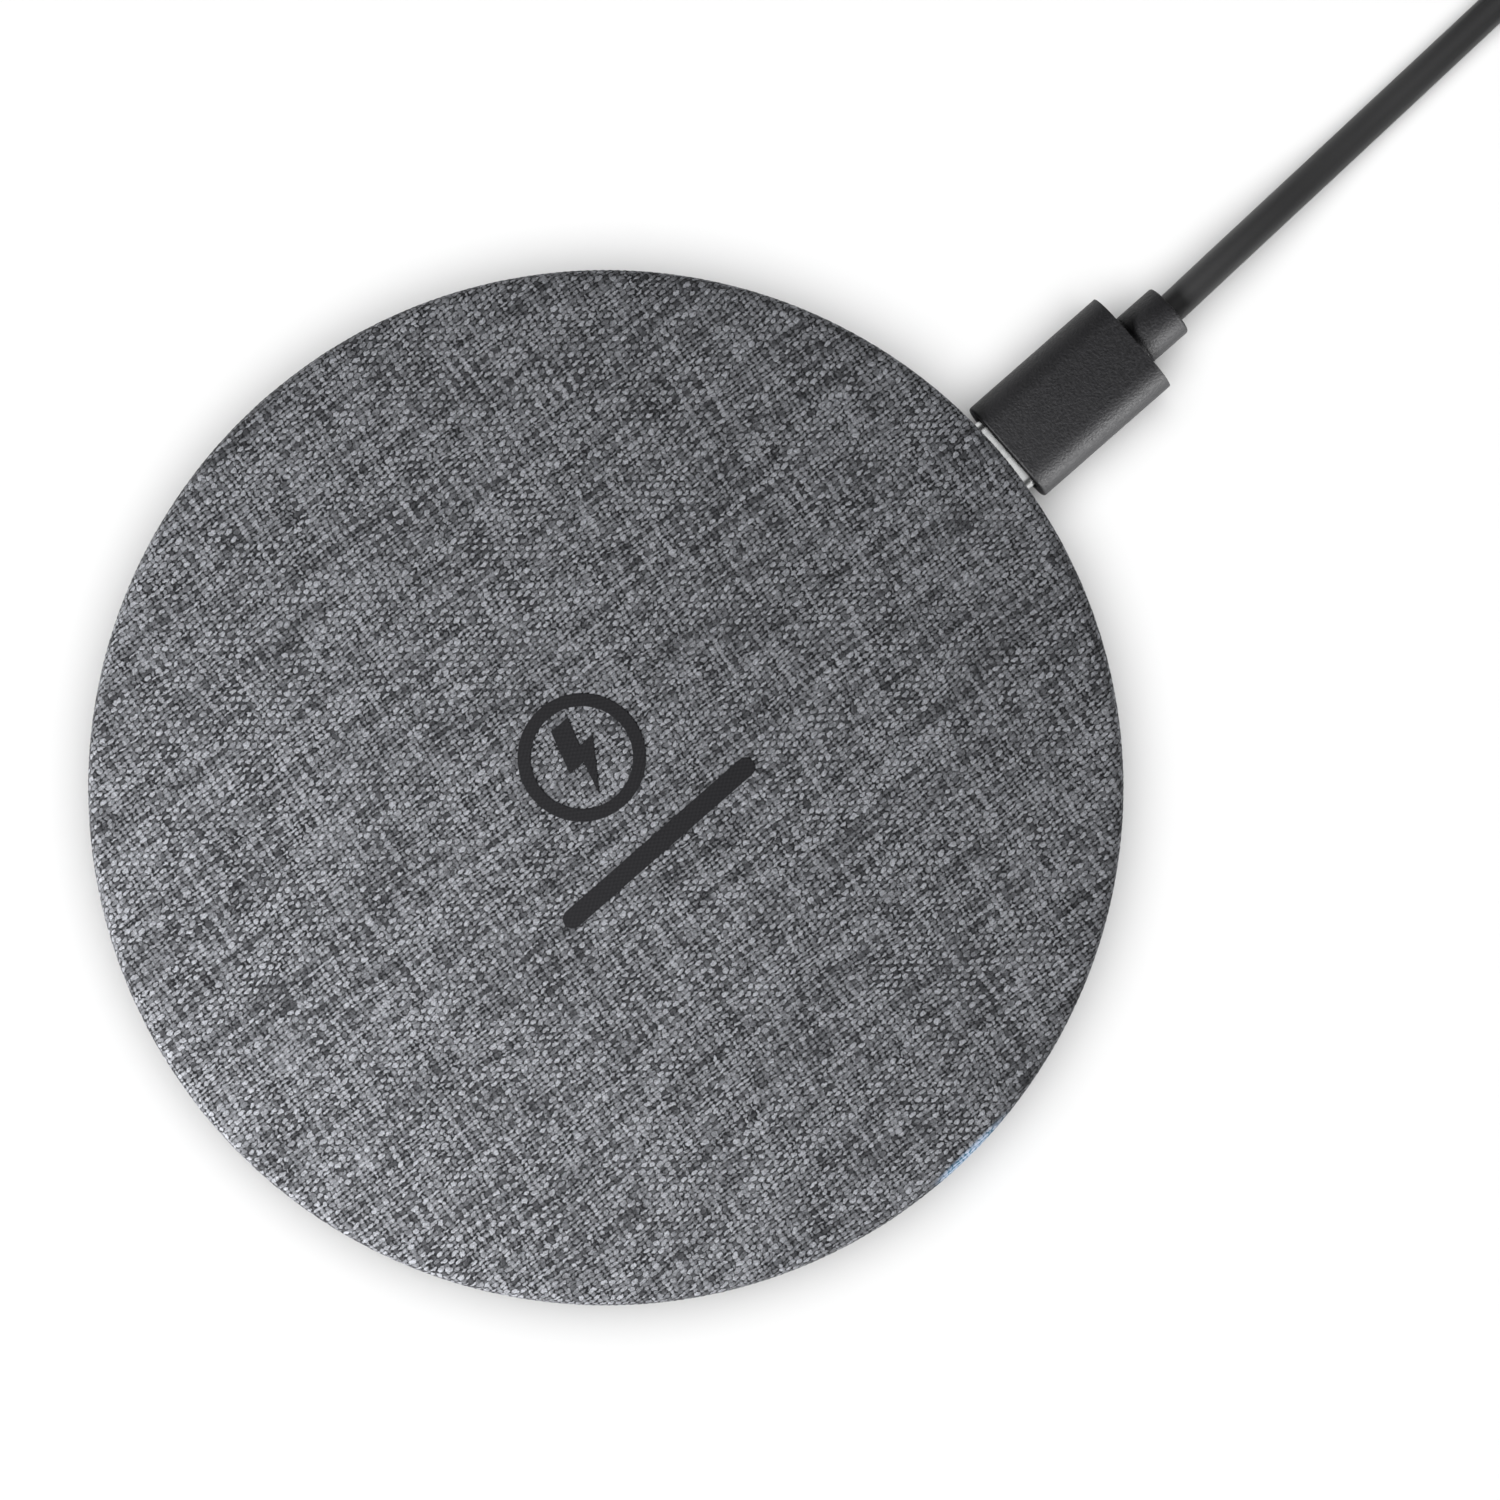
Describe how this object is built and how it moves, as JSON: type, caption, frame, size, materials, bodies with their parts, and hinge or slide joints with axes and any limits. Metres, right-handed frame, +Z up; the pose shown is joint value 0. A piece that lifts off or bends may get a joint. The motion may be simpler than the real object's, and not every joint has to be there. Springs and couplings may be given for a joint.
{
  "type": "wireless charging pad",
  "caption": "Round cloth-topped wireless charging pad with its USB cable plugged into the edge and the spare cable coiled beside it.",
  "frame": {"origin": "centre of the pad's underside, on the surface it stands on (the foot ring's lower face)", "axes": "+Z up out of the charging surface, +X from the pad's centre out along the USB plug and cable, +Y to the left of it; the status light is at -Y"},
  "size_m": [0.2129, 0.1, 0.0086],
  "materials": {
    "cloth": "plain-weave heather grey polyester cloth",
    "mark_film": "heat-pressed dark film",
    "shell_plastic": "fine spark-textured black ABS",
    "silicone": "matte anti-slip silicone",
    "light_guide": "frosted clear acrylic, lit blue",
    "steel": "zinc-plated",
    "plated_shell": "nickel-plated drawn steel",
    "copper": "enamelled litz copper wire",
    "gold_contact": "gold flash",
    "adhesive_tape": "double-sided film",
    "ferrite": "pressed and sintered ferrite",
    "circuit_board": "green solder mask on glass-epoxy",
    "chip_resin": "moulded epoxy",
    "capacitor_ceramic": "sintered ceramic with tinned ends",
    "led_body": "white LED package",
    "connector_plastic": "black liquid-crystal polymer",
    "plug_plastic": "fine spark-textured dark grey elastomer",
    "cable_jacket": "smooth satin dark grey elastomer jacket",
    "tie_strap": "flat black hook-and-loop strap"
  },
  "bodies": {
    "pad": {"fabric_cover": "cloth", "mark_ring": "mark_film", "mark_bolt": "mark_film", "mark_bar": "mark_film", "top_shell": "shell_plastic", "bottom_shell": "shell_plastic", "foot_ring": "silicone", "light_pipe": "light_guide", "base_screw_1": "steel", "base_screw_2": "steel", "base_screw_3": "steel", "base_screw_4": "steel", "board_screw_1": "steel", "board_screw_2": "steel", "charging_coil": "copper", "coil_adhesive": "adhesive_tape", "ferrite_shield": "ferrite", "coil_lead_outer": "copper", "coil_lead_inner": "copper", "main_board": "circuit_board", "controller_chip": "chip_resin", "power_stage_chip": "chip_resin", "filter_inductor": "ferrite", "input_capacitor": "capacitor_ceramic", "resonant_capacitor_1": "capacitor_ceramic", "resonant_capacitor_2": "capacitor_ceramic", "resonant_capacitor_3": "capacitor_ceramic", "resonant_capacitor_4": "capacitor_ceramic", "thermistor": "chip_resin", "indicator_led_1": "led_body", "indicator_led_2": "led_body", "usb_c_receptacle_shell": "plated_shell", "usb_c_receptacle_tongue": "connector_plastic"},
    "cable": {"usb_c_plug_shell": "plated_shell", "usb_c_plug_insert": "connector_plastic", "usb_c_overmold": "plug_plastic", "usb_c_strain_relief": "plug_plastic", "cable_run": "cable_jacket", "cable_coil": "cable_jacket", "cable_tail": "cable_jacket", "cable_tie_1": "tie_strap", "cable_tie_2": "tie_strap", "usb_a_strain_relief": "plug_plastic", "usb_a_overmold": "plug_plastic", "usb_a_shell": "plated_shell", "usb_a_insert": "connector_plastic", "usb_a_contact_1": "gold_contact", "usb_a_contact_2": "gold_contact", "usb_a_contact_3": "gold_contact", "usb_a_contact_4": "gold_contact"}
  },
  "joints": [
    {"name": "plug_pull", "type": "slide", "parent": "pad", "child": "cable", "axis": [1, 0, 0], "range_m": [0, 0.012]}
  ]
}
